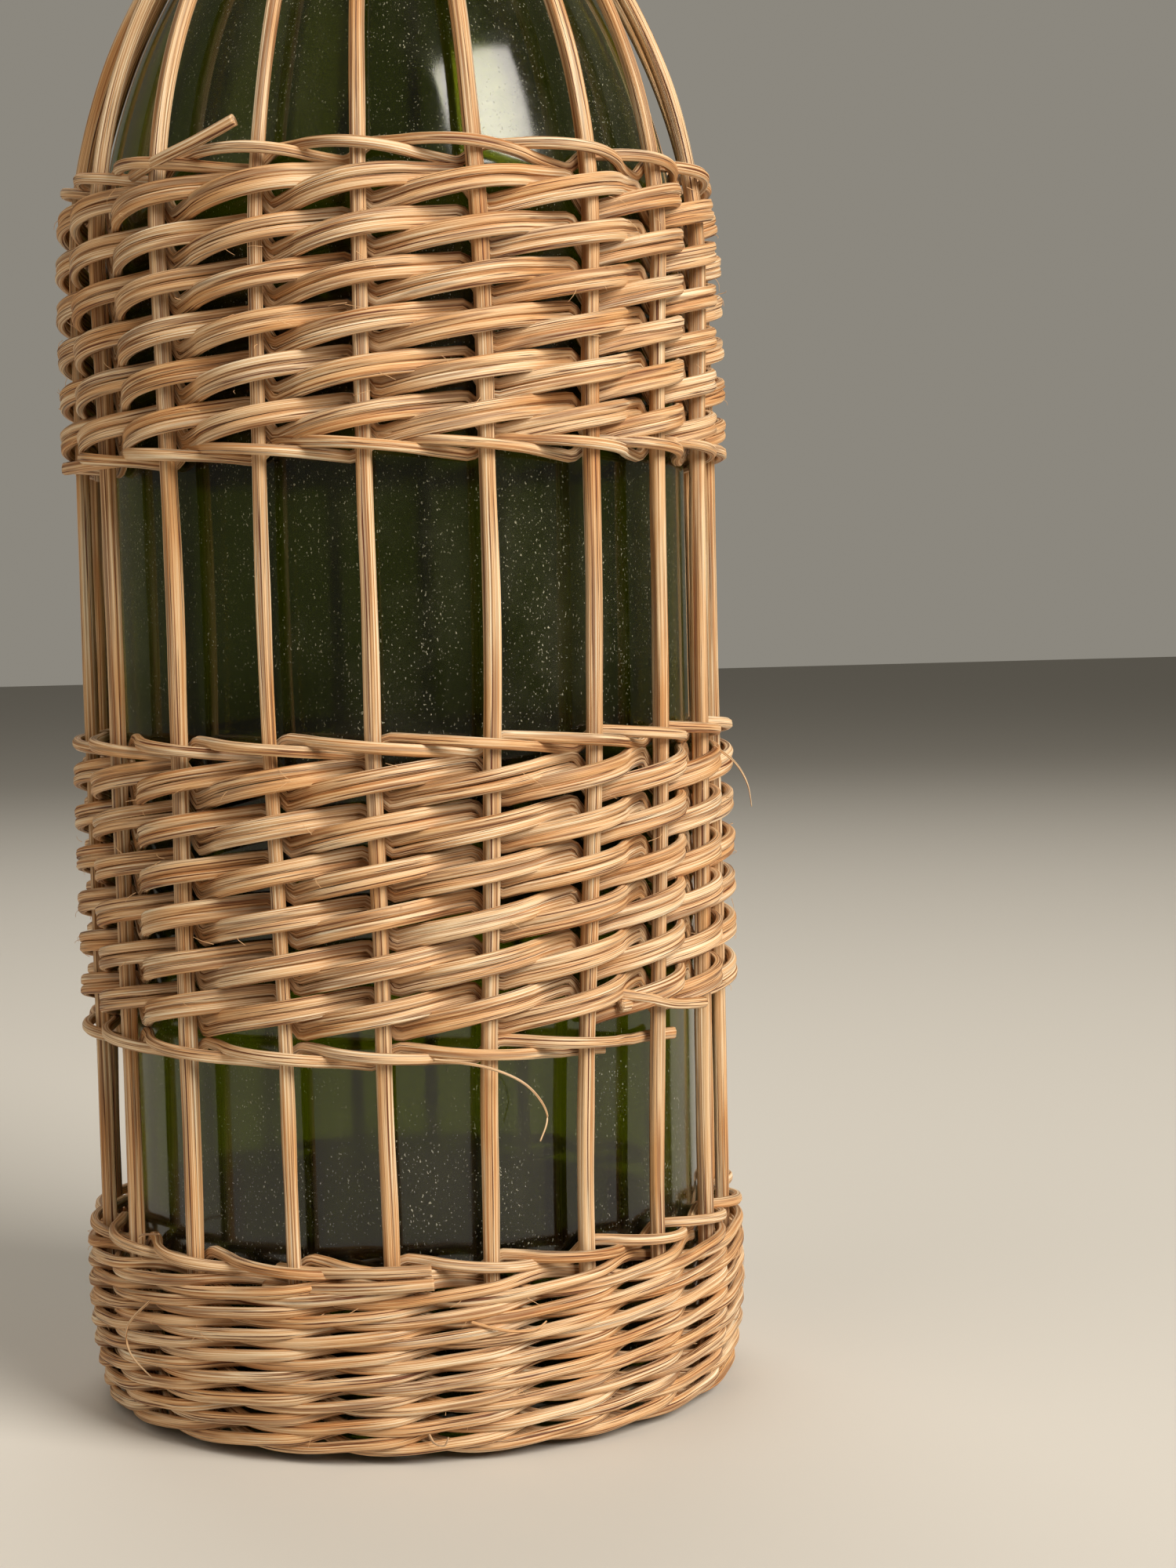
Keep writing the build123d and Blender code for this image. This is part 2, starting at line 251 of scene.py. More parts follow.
# Cork. One turned piece of natural cork: a straight shank in the bore and a head wide
# enough to rest on the lip and to be gripped, with rubbed edges.
cork_depth, cork_head, cork_overhang = 22.0 * MM, 11.0 * MM, 1.3 * MM
cork_fit, cork_bevel, head_bevel = 0.05 * MM, 0.9 * MM, 0.2 * MM
shank, head = bore_radius - cork_fit, bore_radius + cork_overhang
cork_foot, head_foot = neck_top - cork_depth, neck_top + cork_fit
head_top = head_foot + cork_head
cork = spin_solid(
    "turned_cork",
    64,
    [(0.0, cork_foot), (shank - cork_bevel, cork_foot), (shank, cork_foot + cork_bevel)]
    + [(shank, head_foot), (head, head_foot + head_bevel)]
    + [(head, head_foot + cork_head * share) for share in (0.25, 0.5, 0.75)]
    + [(head, head_top - cork_bevel), (head - cork_bevel, head_top)]
    + [(head * 0.5, head_top), (0.0, head_top)],
)

# Natural cork, cut and sanded: tan and without a sheen, with a mottled grain of about 1 mm
# and dark pores up to 3 mm apart.
cork_grain, pore_spacing, pore_depth = 1.1 * MM, 3 * MM, 0.3 * MM
cork_skin, tree, shader = new_material("natural_cork")
coords = node(tree, "ShaderNodeTexCoord").outputs["Object"]
mottle = node(tree, "ShaderNodeTexNoise", {
    "Vector": coords, "Scale": 1 / cork_grain, "Detail": 4.0,
})
pores = node(tree, "ShaderNodeTexVoronoi", {
    "Vector": coords, "Scale": 1 / pore_spacing, "Randomness": 1.0,
})
tan = node(tree, "ShaderNodeValToRGB", {"Fac": mottle}, [(0.3, "A57B4F"), (0.7, "CFA877")])
pit = node(tree, "ShaderNodeValToRGB", {"Fac": pores}, [(0.10, 1.0), (0.24, 0.0)])
pitted = node(tree, "ShaderNodeMix", {
    "data_type": "RGBA", "Factor": pit, 6: tan, 7: linear("5B3A20"),
})
bump = node(tree, "ShaderNodeBump", {"Height": pores, "Strength": 0.5, "Distance": pore_depth})
wire(tree, shader, {"Base Color": pitted.outputs[2], "Roughness": 0.8, "Normal": bump})
cork.data.materials.append(cork_skin)
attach(cork, "cork")
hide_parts("cork_stopper")

# Stakes. Twenty peeled round canes stand round the glass, with room for a weaver behind.
# Each is cut at the base, bends in a little there, and follows the shoulder to the neck,
# where it is cut again. They were set by eye, so each strays from its even place.
stake_count, stake_diameter, cane_diameter = 20, 3.2 * MM, 1.6 * MM
glass_gap, seat_gap, strand_gap, row_gap = 0.7 * MM, 0.1 * MM, 0.03 * MM, 0.26 * MM
stake_foot, heel_bend_height, heel_bend_inset = 1.3 * MM, 18.5 * MM, 2.8 * MM
stake_top_length, front_stake_angle = 3.5 * MM, -95.0
collar_rounds, collar_clearance, fine_cane_diameter = 4, 2.2 * MM, 1.2 * MM
stray_shares = [
    (0.02, -0.02, -0.01), (-0.05, 0.12, 0.08), (-0.06, 0.21, 0.33), (-0.13, 0.15, 0.36),
    (-0.13, 0.08, 0.55), (-0.25, 0.06, 0.50), (-0.15, 0.04, 0.35), (-0.05, -0.05, 0.25),
    (0.04, 0.03, 0.12), (-0.05, 0.06, 0.00), (0.05, -0.04, -0.05), (-0.04, 0.05, -0.10),
    (0.06, -0.06, -0.15), (0.03, 0.04, -0.20), (-0.05, -0.05, -0.25), (0.00, -0.20, -0.30),
    (-0.05, -0.28, -0.28), (-0.05, -0.10, -0.33), (-0.06, -0.05, -0.22), (0.08, -0.03, 0.05),
]
stray_place_shares = (0.10, 0.46, 0.78)
stake_size_shares = [
    0.77, 0.81, 0.78, 0.73, 0.82, 0.74, 0.80, 0.85, 0.76, 0.80,
    0.74, 0.83, 0.78, 0.81, 0.75, 0.85, 0.74, 0.80, 0.79, 0.66,
]
stake_circle = body_radius + glass_gap + cane_diameter + seat_gap + stake_diameter / 2
stake_offset = stake_circle - body_radius
heel_rise = heel_bend_height - stake_foot
heel_turn = 2 * math.atan(heel_bend_inset / heel_rise)
heel_bend_radius = heel_rise / math.sin(heel_turn)
outer_shoulder = shoulder_radius + stake_offset
outer_neck = neck_sweep_radius - stake_offset
fine_height = fine_cane_diameter + 2 * strand_gap
fine_pitch = 2 * fine_height + row_gap / 2
rail_lengths = (
    heel_bend_radius * heel_turn,
    body_height - heel_bend_height,
    outer_shoulder * shoulder_turn,
    outer_neck * shoulder_turn,
    collar_clearance + collar_rounds * fine_pitch + stake_top_length,
)
rail_length = sum(rail_lengths)
heel_slack = rail_lengths[0] - heel_bend_height


def rail(along):
    """Radius, height and inward lean of the stake line at a place along it."""
    heel, side, shoulder, neck, _ = rail_lengths
    if along < heel:
        lean = (along - heel) / heel_bend_radius
        radius = stake_circle - heel_bend_radius * (1 - math.cos(lean))
        return radius, heel_bend_height + heel_bend_radius * math.sin(lean), lean
    along -= heel
    if along < side:
        return stake_circle, heel_bend_height + along, 0.0
    along -= side
    if along < shoulder:
        lean = along / outer_shoulder
        radius = stake_circle - outer_shoulder * (1 - math.cos(lean))
        return radius, body_height + outer_shoulder * math.sin(lean), lean
    along -= shoulder
    lean = max(shoulder_turn - along / outer_neck, 0.0)
    top = body_height + (outer_shoulder + outer_neck) * math.sin(shoulder_turn)
    radius = neck_radius + stake_offset + outer_neck * (1 - math.cos(lean))
    return radius, top - outer_neck * math.sin(lean) + max(along - neck, 0.0), lean


def ease(share):
    """A smooth step from 0 to 1."""
    share = min(max(share, 0.0), 1.0)
    return share * share * (3 - 2 * share)


def stake_stray(stake, along):
    """One stake's stray from its even place, in stakes."""
    foot, waist, shoulder = stray_shares[stake % stake_count]
    low, middle, high = (share * rail_length for share in stray_place_shares)
    if along < middle:
        return foot + (waist - foot) * ease((along - low) / (middle - low))
    if along < high:
        return waist + (shoulder - waist) * ease((along - middle) / (high - middle))
    return shoulder * (1 - ease((along - high) / (rail_length - rail_lengths[-1] - high)))


def place(stake, along, out=0.0):
    """The point `out` from the stake line, at or between the stakes."""
    before = math.floor(stake)
    blend = ease(stake - before)
    stray = stake_stray(before, along) * (1 - blend) + stake_stray(before + 1, along) * blend
    radius, height, lean = rail(along)
    radius += out * math.cos(lean)
    height += out * math.sin(lean)
    angle = math.radians(front_stake_angle + 360 / stake_count * (stake + stray))
    return Vector((radius * math.cos(angle), radius * math.sin(angle), height))


def wander(*where):
    """A smooth random number from about -0.5 to 0.5 that is the same on every run."""
    return noise.noise(Vector(where))


def curve_mesh(name, curve):
    """The mesh of a bevelled curve, which is then removed."""
    holder = add_object(name, curve)
    graph = bpy.context.evaluated_depsgraph_get()
    mesh = bpy.data.meshes.new_from_object(holder.evaluated_get(graph))
    bpy.data.objects.remove(holder)
    bpy.data.curves.remove(curve)
    return mesh


def sweep(name, outline, points, sizes, twist):
    """An open tube with a drawn outline, whose rings stand at the points in their sizes."""
    section = bpy.data.curves.new(name + "_section", "CURVE")
    ring = section.splines.new("POLY")
    ring.points.add(len(outline) - 1)
    for point, (across, up) in zip(ring.points, outline):
        point.co = (across, up, 0, 1)
    ring.use_cyclic_u = True
    profile = add_object(name + "_profile", section)
    curve = bpy.data.curves.new(name + "_line", "CURVE")
    curve.dimensions = "3D"
    curve.twist_mode = twist
    curve.bevel_mode = "OBJECT"
    curve.bevel_object = profile
    line = curve.splines.new("POLY")
    line.points.add(len(points) - 1)
    for point, spot, size in zip(line.points, points, sizes):
        point.co = (*spot, 1)
        point.radius = size
    mesh = curve_mesh(name + "_holder", curve)
    bpy.data.objects.remove(profile)
    bpy.data.curves.remove(section)
    return mesh


def lay_cane(
    name, course, start, end, step, thick, tall, seed,
    sides=20, twist="Z_UP", taper=0.0, swell=0.13, ridge_length=18 * MM,
):
    """A cane along course(t), a little squared in section, with ridged sides and closed ends.

    Each point keeps its place on the straightened cane in the attribute "grain", in
    millimetres, and how far its ridge stands proud in the attribute "ridge".
    """
    squareness, swell_run, ridge_height, grain_shift = 0.8, 14 * MM, 0.14, 37.0
    coarse, fine, fine_share, fine_run = 2.4, 4.6, 0.6, 2.5
    turns = [2 * math.pi * number / sides for number in range(sides)]
    circle = [(math.cos(turn), math.sin(turn)) for turn in turns]
    outline = [
        (math.copysign(abs(across) ** squareness, across) * thick / 2,
         math.copysign(abs(up) ** squareness, up) * tall / 2)
        for across, up in circle
    ]
    count = max(math.ceil((end - start) / step), 2)
    points = [course(start + (end - start) * number / count) for number in range(count + 1)]
    lengths = [0.0]
    for first, second in zip(points, points[1:]):
        lengths.append(lengths[-1] + (second - first).length)
    sizes = [
        (1 + swell * wander(length / swell_run, seed, 1.5)) * (1 - taper * number / count)
        for number, length in enumerate(lengths)
    ]
    mesh = sweep(name, outline, points, sizes, twist)
    shape = np.empty(len(mesh.vertices) * 3, dtype=np.float32)
    mesh.vertices.foreach_get("co", shape)
    shape = shape.reshape(count + 1, sides, 3)
    ridges = np.array([
        [
            wander(coarse * across + seed, coarse * up, length / ridge_length)
            + fine_share * wander(fine * across, fine * up + seed, fine_run * length / ridge_length)
            for across, up in circle
        ]
        for length in lengths
    ])
    centres = np.array([tuple(spot) for spot in points])[:, None, :]
    shape = centres + (shape - centres) * (1 + ridge_height * ridges[:, :, None])
    mesh.vertices.foreach_set("co", shape.ravel())
    grain = np.empty((count + 1, sides, 3), dtype=np.float32)
    grain[:, :, 0] = np.array(lengths)[:, None] / MM + seed * grain_shift
    grain[:, :, 1:] = np.array(outline)[None, :, :] / MM
    grain_layer = mesh.attributes.new("grain", "FLOAT_VECTOR", "POINT")
    grain_layer.data.foreach_set("vector", grain.ravel())
    ridge_layer = mesh.attributes.new("ridge", "FLOAT", "POINT")
    ridge_layer.data.foreach_set("value", ridges.ravel())
    bm = bmesh.new()
    bm.from_mesh(mesh)
    bpy.data.meshes.remove(mesh)
    bmesh.ops.holes_fill(bm, edges=[edge for edge in bm.edges if edge.is_boundary], sides=0)
    bmesh.ops.recalc_face_normals(bm, faces=bm.faces)
    return finish_mesh(name, bm)


def cane_material(name, light, mid, dark, crack, fibre_length):
    """Peeled rattan, split and dried: long pale fibres with darker lines between them.

    The fibres run along the cane, so every pattern reads the straightened cane, and its
    sizes are in millimetres. The grooves between the ridges are darkened towards the crack colour,
    up to about half-way in the deepest, and the cracks take it fully.
    """
    fibre_width, crack_width, patch_width, patch_length = 0.19, 0.28, 4.0, 29.0
    crack_length, crack_shift, relief = fibre_length / 1.8, (7, 3, 1), 0.2 * MM
    material, tree, shader = new_material(name)
    grain = node(tree, "ShaderNodeAttribute", {"attribute_name": "grain"}).outputs["Vector"]
    ridge = node(tree, "ShaderNodeAttribute", {"attribute_name": "ridge"}).outputs["Fac"]
    fibre_coords = node(tree, "ShaderNodeMapping", {
        "Vector": grain, "Scale": per(fibre_length, fibre_width, fibre_width),
    })
    fibres = node(tree, "ShaderNodeTexNoise", {
        "Vector": fibre_coords, "Scale": 1.0, "Detail": 4.0, "Roughness": 0.7,
    })
    patch_coords = node(tree, "ShaderNodeMapping", {
        "Vector": grain, "Scale": per(patch_length, patch_width, patch_width),
    })
    patches = node(tree, "ShaderNodeTexNoise", {
        "Vector": patch_coords, "Scale": 1.0, "Detail": 3.0,
    })
    crack_coords = node(tree, "ShaderNodeMapping", {
        "Vector": grain, "Location": crack_shift,
        "Scale": per(crack_length, crack_width, crack_width),
    })
    cracks = node(tree, "ShaderNodeTexNoise", {
        "Vector": crack_coords, "Scale": 1.0, "Detail": 3.0,
    })
    fibre_stops = [(0.36, dark), (0.49, mid), (0.62, light)]
    base = node(tree, "ShaderNodeValToRGB", {"Fac": fibres}, fibre_stops)
    tint = node(tree, "ShaderNodeValToRGB", {"Fac": patches}, [(0.36, "EBCBA0"), (0.60, "FFFFFF")])
    toned = node(tree, "ShaderNodeMix", {
        "data_type": "RGBA", "blend_type": "MULTIPLY", "Factor": 0.8, 6: base, 7: tint,
    })
    split = node(tree, "ShaderNodeValToRGB", {"Fac": cracks}, [(0.35, 1.0), (0.405, 0.0)])
    # The deeper a groove between the ridges lies, the more it is darkened towards the crack colour.
    groove = node(tree, "ShaderNodeMapRange", {
        "Value": ridge, "From Min": -0.42, "From Max": -0.05, "To Min": 0.55, "To Max": 0.0,
    })
    crack_and_groove_darkening = node(tree, "ShaderNodeMath", {"operation": "MAXIMUM", 0: split, 1: groove})
    darkened_colour = node(tree, "ShaderNodeMix", {
        "data_type": "RGBA", "Factor": crack_and_groove_darkening, 6: toned.outputs[2], 7: linear(crack),
    })
    rough = node(tree, "ShaderNodeValToRGB", {"Fac": fibres}, [(0.3, 0.66), (0.7, 0.44)])
    height = node(tree, "ShaderNodeMath", {"operation": "SUBTRACT", 0: fibres, 1: split})
    bump = node(tree, "ShaderNodeBump", {"Height": height, "Strength": 0.7, "Distance": relief})
    wire(tree, shader, {"Base Color": darkened_colour.outputs[2], "Roughness": rough, "Normal": bump})
    return material


stake_cane = cane_material(
    "peeled_stake_cane", "F8E8C8", "DFB786", "A66D38", "63300F", fibre_length=75.0
)
woven_cane = cane_material(
    "split_weaving_cane", "F9E9CA", "E0B889", "AB723C", "693714", fibre_length=34.0
)


def dress(piece, cad_node, material):
    """Gives a basket piece its material and body, and hides the CAD node it replaces, if any."""
    piece.data.materials.append(material)
    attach(piece, "flask")
    if cad_node:
        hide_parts(cad_node)


wobble_turn, wobble_run, wobble_start, wobble_blend = 0.007, 38 * MM, 20 * MM, 30 * MM
stake_step, stake_ridge_length = 2.5 * MM, 50 * MM
for number in range(stake_count):
    size = stake_diameter * stake_size_shares[number]

    def stake_course(along):
        spot = place(number, along)
        wobble = wobble_turn * ease((along - wobble_start) / wobble_blend)
        turn = math.atan2(spot.y, spot.x)
        turn += wobble * wander(along / wobble_run, number * 3.1, 0.2)
        radius = math.hypot(spot.x, spot.y)
        return Vector((radius * math.cos(turn), radius * math.sin(turn), spot.z))

    stake = lay_cane(
        f"upright_cane_{number + 1:02d}", stake_course, 0.0, rail_length, stake_step, size, size,
        seed=number + 1, sides=24, twist="MINIMUM", swell=0.06, ridge_length=stake_ridge_length,
    )
    dress(stake, f"stake_{number + 1:02d}", stake_cane)

# Woven canes. Split cane, a little wider than it is thick, worked wet round the stakes so
# that it keeps their bends when dry. Rows step up to the next round at the back seam.
weave_wide, weave_thick, weave_step, slope_share = 1.80 * MM, 1.60 * MM, 1 / 16, 1.09
seam_stake, step_stakes, end_tuck = 10, 4, 0.06
row_slack, strand_slack, bulge_slack = 0.42 * MM, 0.14 * MM, 0.07
row_waves, strand_waves, bulge_waves = 0.45, 0.9, 0.7
weave_depth = (stake_diameter + cane_diameter) / 2 + seat_gap
strand_step = (cane_diameter + strand_gap) * slope_share
pair_height = strand_step + cane_diameter + strand_gap
row_pitch = 2 * pair_height + row_gap
border_height = cane_diameter + strand_gap
border_reach = pair_height + border_height + row_gap / 2


def climb(stakes, rounds):
    """Rounds climbed so far: level all round, then a step up at the seam."""
    whole = min(max(math.floor(stakes / stake_count), 0), rounds - 1)
    left = stakes - whole * stake_count
    return whole + ease((left - stake_count + step_stakes) / step_stakes) * (rounds > 1)


def stroke_rise(where, rise, bow):
    """Height of a strand in a pairing, from -1, behind a stake, by 0, before one, to 1.

    It climbs all the way across the front, and drops back while the stake hides it.
    """
    tuck = 0.84
    if abs(where) <= tuck:
        return rise * where - bow * where ** 2
    hidden = 2 - 2 * tuck
    share = ((where - tuck) % 2) / hidden
    high, low = rise * tuck - bow * tuck ** 2, -rise * tuck - bow * tuck ** 2
    lead_in, lead_out = (rise - 2 * bow * tuck) * hidden, (rise + 2 * bow * tuck) * hidden
    return (
        high + lead_in * share + (3 * (low - high) - 2 * lead_in - lead_out) * share ** 2
        + (2 * (high - low) + lead_in + lead_out) * share ** 3
    )


def stroke_out(where):
    """How far out a strand lies, from 1 before a stake to -1 behind one."""
    lag, reach, roundness = 0.08, 1.03, 0.85
    turn = math.cos(math.pi * (where + lag))
    return reach * math.copysign(abs(turn) ** roundness, turn)


def weave_pairing(
    name, start, rounds, pitch, rise, bow, depth, wide, thick, offsets, seed, ends=None
):
    """Two groups of canes that cross between every two stakes, before one, behind one.

    Ends give each group its first place, where it stops climbing, and its last place.
    """
    number = 0
    for group in (0, 1):
        for offset in offsets:
            number += 1
            first = 1 - group + end_tuck
            last = rounds * stake_count - step_stakes + group - 1 - end_tuck
            if rounds == 1:
                last = first + stake_count - 2 * end_tuck
            hold = last
            if ends:
                first, hold, last = ends[group]

            def course(stakes):
                slack = row_slack * wander(stakes * row_waves, group * 9.1, seed)
                slack += strand_slack * wander(stakes * strand_waves, number * 5.3, seed + 4.0)
                along = start + pitch * climb(stakes, rounds) + offset + slack
                where = (stakes + group + 1) % 2 - 1
                held = (min(stakes, hold) + group + 1) % 2 - 1
                loose = bulge_slack * wander(stakes * bulge_waves, number * 2.7, seed + 8.0)
                out = depth * (stroke_out(where) + loose)
                return place(seam_stake + stakes, along + stroke_rise(held, rise, bow), out)

            piece = lay_cane(
                f"{name}_strand_{number}", course, first, last, weave_step, thick, wide,
                seed=int(seed * 10) + number,
            )
            dress(piece, f"{name}_{number}", woven_cane)


def weave_border(name, level, seed, ends=None):
    """One row of single canes whose strokes fall to the right."""
    weave_pairing(
        name, level, rounds=1, pitch=0.0, rise=-border_height, bow=0.2 * border_height,
        depth=weave_depth, wide=weave_wide, thick=weave_thick, offsets=(0.0,),
        seed=seed, ends=ends,
    )


def weave_band(name, start, rounds, seed, lower_ends=None, lower_sag=0.0):
    """Rows of doubled canes between two borders."""
    weave_pairing(
        f"{name}_weaver", start, rounds, row_pitch, rise=0.90 * pair_height,
        bow=0.25 * pair_height, depth=weave_depth, wide=weave_wide, thick=weave_thick,
        offsets=(-strand_step / 2, strand_step / 2), seed=seed,
    )
    top = start + (rounds - 1) * row_pitch + border_reach
    weave_border(f"{name}_lower_border", start - border_reach - lower_sag, seed + 1, lower_ends)
    weave_border(f"{name}_upper_border", top, seed + 2)


# Wale. Three rods go round the base together, each before two stakes and behind one,
# eight rounds up, and are packed so tight that they hide the stakes.
wale_start, wale_rounds, wale_rods = 2.9 * MM, 8, 3
wale_out_shares = (1.0, 1.10, 1.05, -0.28, -1.0, 0.28)
wale_rise_shares = (0.02, 0.50, 1.03, 1.46, 0.70, -0.18)
wale_reach_share, wale_wide_share = 1.86, 1.06
wale_slack, wale_bulge_slack = 0.16 * MM, 0.05
wale_waves, wale_bulge_waves = 0.5, 0.6
wale_pitch = 2 * (cane_diameter + strand_gap) + row_gap / 4
wale_border_reach = wale_reach_share * cane_diameter + border_height + row_gap / 3
level_stakes = wale_rounds * stake_count - step_stakes


def flow(before, here, after, later, part):
    """A smooth way from here to after, led by the values on each side of them."""
    bend = 2 * before - 5 * here + 4 * after - later
    twist = 3 * here - before - 3 * after + later
    return here + ((after - before) * part + bend * part ** 2 + twist * part ** 3) / 2


def sway(shares, stakes, period):
    """A smooth repeating curve through evenly spaced shares."""
    count = len(shares)
    step = (stakes % period) / period * count
    first = math.floor(step)
    return flow(*(shares[(first + shift) % count] for shift in (-1, 0, 1, 2)), step - first)


for rod in range(wale_rods):
    first_stake = (rod + 2) % wale_rods + end_tuck
    last_stake = level_stakes - (level_stakes - rod - 2) % wale_rods - end_tuck

    def wale_course(stakes):
        rise = cane_diameter * sway(wale_rise_shares, stakes - rod, wale_rods)
        slack = wale_slack * wander(stakes * wale_waves, rod * 4.3, 60.0)
        along = wale_start + wale_pitch * climb(stakes, wale_rounds) + rise + slack
        loose = wale_bulge_slack * wander(stakes * wale_bulge_waves, rod, 70.0)
        out = weave_depth * (sway(wale_out_shares, stakes - rod, wale_rods) + loose)
        return place(seam_stake + stakes, along + heel_slack, out)

    wale_rod = lay_cane(
        f"wale_rod_strand_{rod + 1}", wale_course, first_stake, last_stake, weave_step,
        weave_thick, wale_wide_share * weave_wide, seed=70 + rod, sides=16,
    )
    dress(wale_rod, f"wale_rod_{rod + 1}", woven_cane)
wale_top = wale_start + (wale_rounds - 1) * wale_pitch + wale_border_reach + heel_slack
weave_border("wale_border", wale_top, seed=30.5)

# Waist and upper bands. Doubled pairing, whose strokes rise to the right, held above and
# below by a border of single canes that slant the other way. The waist's lower border has
# broken at the right, so it stops there and starts again further round.
waist_start, upper_start, band_rounds = 71.2 * MM + heel_slack, 162.3 * MM + heel_slack, 6
waist_sag, upper_sag = 1.9 * MM, -0.7 * MM
broken_ends = ((-3.8, 12.75, 13.36), (-4.4, 11.8, 12.28))
weave_band("waist", waist_start, band_rounds, 40.5, broken_ends, waist_sag)
weave_band("upper", upper_start, band_rounds, 50.5, lower_sag=upper_sag)

# Collar. Four rounds of finer cane, worked as single pairing, gather the stakes against
# the neck.
collar_start = rail_length - rail_lengths[-1] + collar_clearance + fine_height
collar_depth = (stake_diameter + fine_cane_diameter) / 2 + seat_gap
collar_cane_width = 1.3 * MM
weave_pairing(
    "collar_weaver", collar_start, collar_rounds, fine_pitch, rise=0.9 * fine_height,
    bow=0.1 * fine_height, depth=collar_depth, wide=collar_cane_width,
    thick=fine_cane_diameter, offsets=(0.0,), seed=60.5,
)

# Broken and spare ends. Canes that were joined in, or have snapped, end in blunt stubs,
# and split fibres have sprung loose. All are the same cane, held by the weave they leave.
# Each place is a stake's number and the millimetres along it and out from it.
stubs = {
    "sprung_border_end": [
        (-2.3, 200.6, 0.6), (-1.9, 201.3, 2.4), (-1.5, 202.8, 3.6), (-1.12, 205.6, 4.2),
    ],
    "cut_border_end": [(-2.7, 156.6, -1.2), (-3.1, 156.3, 2.0), (-3.55, 156.1, 3.6)],
    "snapped_border_stub": [
        (2.35, 68.3, 1.2), (2.7, 68.1, 0.0), (3.0, 67.6, -2.2), (3.4, 67.0, -2.3),
    ],
    "blunt_waist_stub": [
        (2.35, 70.2, 0.2), (2.7, 69.0, 2.2), (3.05, 67.5, 2.7), (3.62, 66.4, 2.6),
    ],
    "upper_wale_join": [
        (-1.2, 29.2, -1.6), (-0.7, 29.5, 0.8), (-0.1, 30.1, 3.1), (0.38, 30.3, 3.4),
    ],
    "lower_wale_join": [
        (-1.3, 26.6, -0.6), (-0.8, 27.0, 1.4), (-0.1, 27.9, 3.7), (0.40, 28.3, 4.0),
    ],
}
fibres = {
    "curled_fibre": [
        (0.45, 62.6, 1.6), (0.9, 61.4, 3.6), (1.25, 58.4, 4.6), (1.44, 53.6, 5.0),
        (1.38, 49.4, 5.0),
    ],
    "hanging_splinter": [
        (4.0, 108.0, 2.2), (4.3, 105.0, 4.6), (4.6, 101.0, 6.0), (4.8, 97.0, 6.4),
    ],
    "left_wale_fibre": [
        (-2.4, 23.2, 3.0), (-2.7, 18.0, 4.8), (-2.72, 13.6, 4.6), (-2.5, 9.8, 3.2),
    ],
    "right_wale_fibre": [
        (0.75, 21.8, 3.0), (1.05, 20.4, 4.6), (1.3, 20.0, 4.6), (1.45, 20.8, 3.4),
    ],
    "foot_fibre": [(0.30, 5.2, 2.8), (0.36, 4.0, 4.2), (0.46, 3.8, 4.8), (0.50, 5.0, 4.6)],
    "wale_top_splinter": [(-2.7, 31.8, 2.2), (-2.5, 33.0, 3.4), (-2.2, 34.0, 4.4)],
}
stub_step, fibre_thick, fibre_wide, fibre_taper = 1 / 12, 0.36 * MM, 0.54 * MM, 0.55


def lay_end(name, spots, thick, wide, seed, **form):
    """A short cane whose middle line runs smoothly through its places."""
    knots = [spots[0], *spots, spots[-1]]

    def course(stop):
        first = min(int(stop), len(spots) - 2)
        stake, along, out = (flow(*four, stop - first) for four in zip(*knots[first:first + 4]))
        return place(stake, along * MM, out * MM)

    piece = lay_cane(name, course, 0.0, len(spots) - 1, stub_step, thick, wide, seed, **form)
    dress(piece, None, woven_cane)


for number, (name, spots) in enumerate(stubs.items()):
    lay_end(name, spots, weave_thick, weave_wide, seed=90 + number)
for number, (name, spots) in enumerate(fibres.items()):
    lay_end(
        name, spots, fibre_thick, fibre_wide, seed=110 + number, sides=8, taper=fibre_taper
    )

# Frayed fibres. Hairs of split skin, a tenth of a millimetre thick and a few long, stand
# off the canes of the wale and of both bands, where the basket has been rubbed. Each band
# has its lowest and highest millimetre along the stakes, and its number of hairs.
hair_radius, hair_root, hair_taper = 0.055 * MM, 2.6, 0.5
hair_drift, hair_climb = (-0.22, 0.22), (-2.6, 2.2)
hair_lift, hair_curl = (0.5, 1.5), (1.6, 3.0)
hair_bands = ((4, 30, 70), (68, 108, 90), (160, 200, 90))
chance = random.Random(17)
fuzz = bpy.data.curves.new("frayed_fibres_line", "CURVE")
fuzz.dimensions = "3D"
fuzz.bevel_depth = hair_radius
fuzz.bevel_resolution = 0
fuzz.resolution_u = 3
fuzz.use_fill_caps = True
for low, high, hairs in hair_bands:
    for _ in range(hairs):
        stake, along = chance.uniform(0, stake_count), chance.uniform(low, high)
        drift, climb_by = chance.uniform(*hair_drift), chance.uniform(*hair_climb)
        lift = chance.uniform(*hair_lift)
        spline = fuzz.splines.new("NURBS")
        spline.points.add(3)
        for share, point in zip((0.0, 0.35, 0.7, 1.0), spline.points):
            out = hair_root + lift * math.sin(share * chance.uniform(*hair_curl))
            spot = place(stake + drift * share, (along + climb_by * share) * MM, out * MM)
            point.co = (*spot, 1)
            point.radius = 1 - hair_taper * share
        spline.order_u = 3
        spline.use_endpoint_u = True
frayed = add_object("frayed_fibres", curve_mesh("frayed_fibres_holder", fuzz))
dress(frayed, None, woven_cane)

# Studio. A plain pale floor, painted matt, and an even sky that is brighter where it is seen
# directly or through the glass. A large soft lamp stands to the right of the camera, a weaker
# one to its left, which nothing mirrors, and the weakest one behind the flask.
floor_reach, sky_light, sky_seen = 6.0, 0.22, 0.42
floor_mesh = bmesh.new()
bmesh.ops.create_grid(floor_mesh, x_segments=1, y_segments=1, size=floor_reach)
floor = finish_mesh("studio_floor", floor_mesh, smooth=False)
floor_paint, tree, shader = new_material("matt_floor_paint")
wire(tree, shader, {"Base Color": linear("D2CEC6"), "Roughness": 0.9})
floor.data.materials.append(floor_paint)

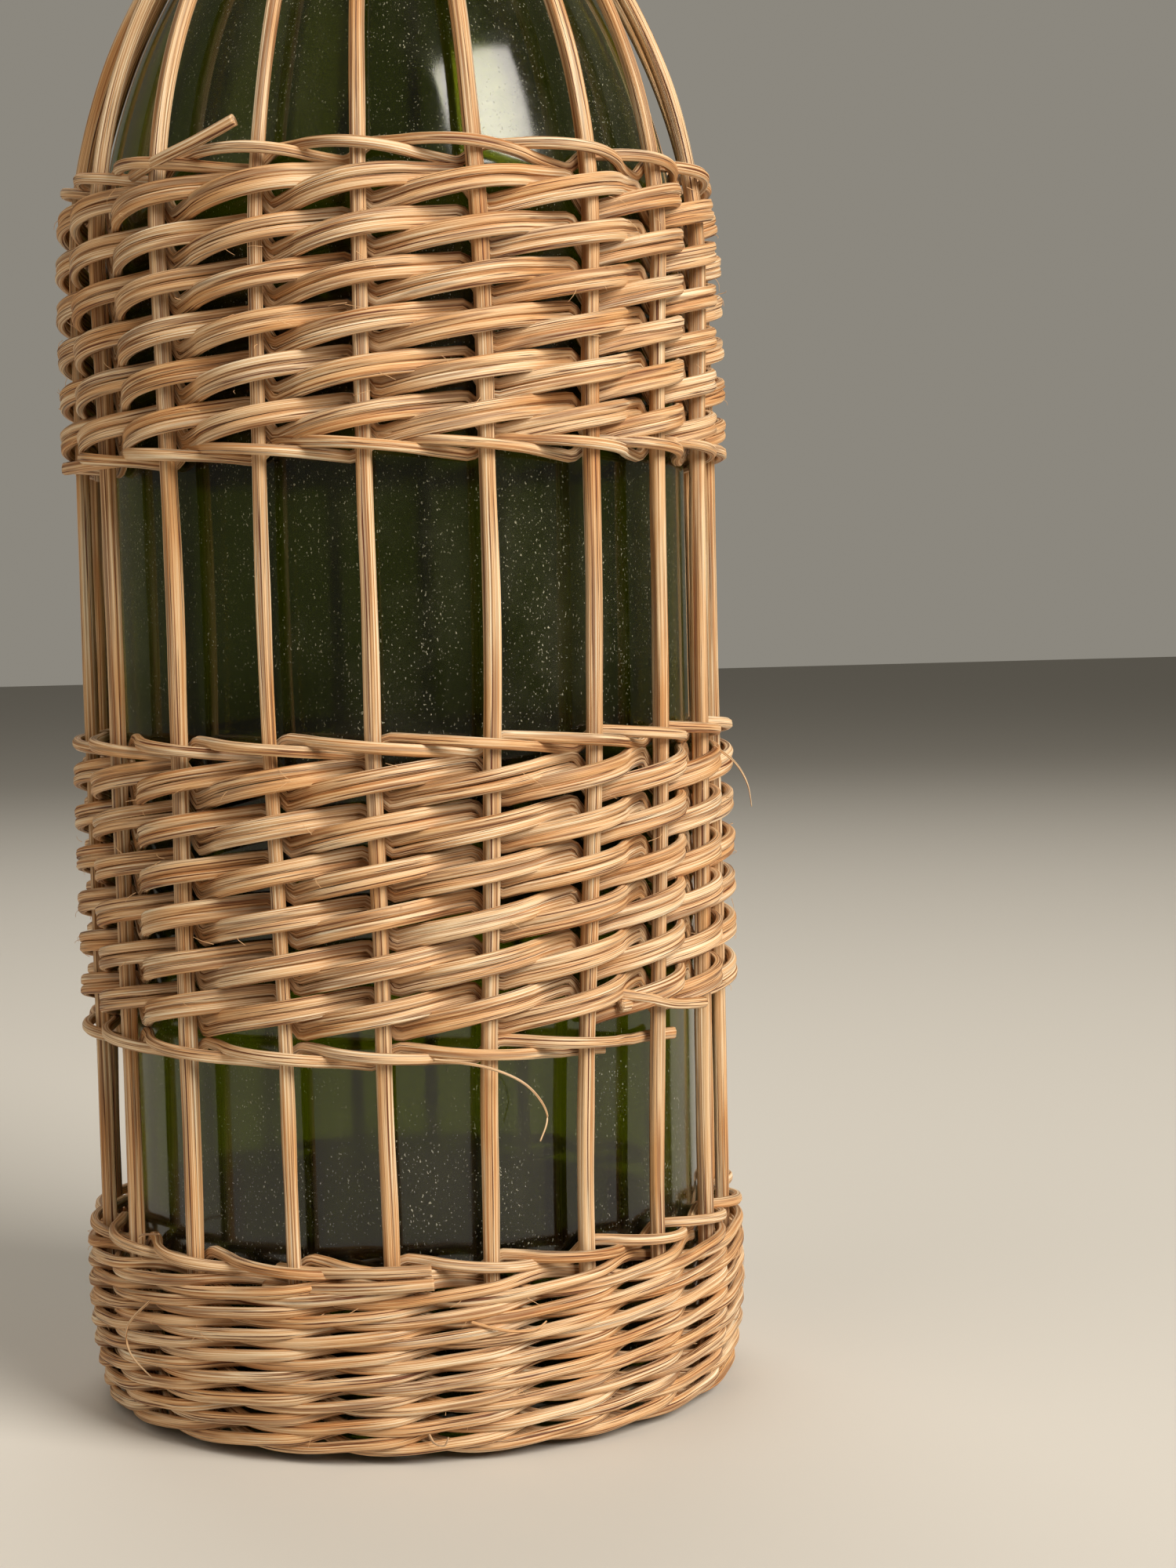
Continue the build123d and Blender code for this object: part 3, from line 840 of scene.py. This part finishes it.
world = bpy.context.scene.world or bpy.data.worlds.new("studio_sky")
bpy.context.scene.world = world
world.use_nodes = True
tree = world.node_tree
rays = node(tree, "ShaderNodeLightPath").outputs
seen = node(tree, "ShaderNodeMath", {
    "operation": "MAXIMUM", 0: rays["Is Camera Ray"], 1: rays["Is Transmission Ray"],
})
strength = node(tree, "ShaderNodeMapRange", {
    "Value": seen, "To Min": sky_light, "To Max": sky_seen,
})
wire(tree, tree.nodes["Background"], {"Color": linear("CFC9BC"), "Strength": strength})


def soft_lamp(name, spot, size, power, colour, spread):
    """A square area lamp that faces the middle of the flask."""
    middle = Vector((0, 0, 0.13))
    data = bpy.data.lights.new(name, "AREA")
    data.size = size
    data.energy = power
    data.spread = math.radians(spread)
    data.color = linear(colour)[:3]
    lamp = add_object(name, data)
    lamp.location = spot
    lamp.rotation_euler = (middle - Vector(spot)).to_track_quat("-Z", "Y").to_euler()
    return lamp


soft_lamp("window_side_lamp", (1.15, -1.15, 1.16), 1.10, 13.8, "FFF8EE", 90)
fill_lamp = soft_lamp("fill_lamp", (-1.10, -0.80, 1.30), 1.60, 8.0, "FFF4E6", 180)
fill_lamp.visible_glossy = False
soft_lamp("rear_lamp", (-0.10, 1.40, 1.80), 1.30, 3.8, "FFFBF4", 90)

# Camera. It stands half a metre off, a little higher than the waist band, and is turned a
# few degrees down and to its right.
camera_distance, camera_height = 0.473, 0.131
pitch_down, yaw_right, roll = 3.5, 3.8, 1.4
camera_data = bpy.data.cameras.new("still_camera")
camera_data.sensor_fit = "VERTICAL"
camera_data.sensor_height = 36.0
camera_data.lens = 62.95
camera = add_object("still_camera", camera_data)
aim = (
    Matrix.Rotation(math.radians(-yaw_right), 4, "Z")
    @ Matrix.Rotation(math.radians(90 - pitch_down), 4, "X")
    @ Matrix.Rotation(math.radians(-roll), 4, "Z")
)
camera.matrix_world = Matrix.Translation((0.0, -camera_distance, camera_height)) @ aim
bpy.context.scene.camera = camera
bpy.context.scene.view_settings.view_transform = "Standard"
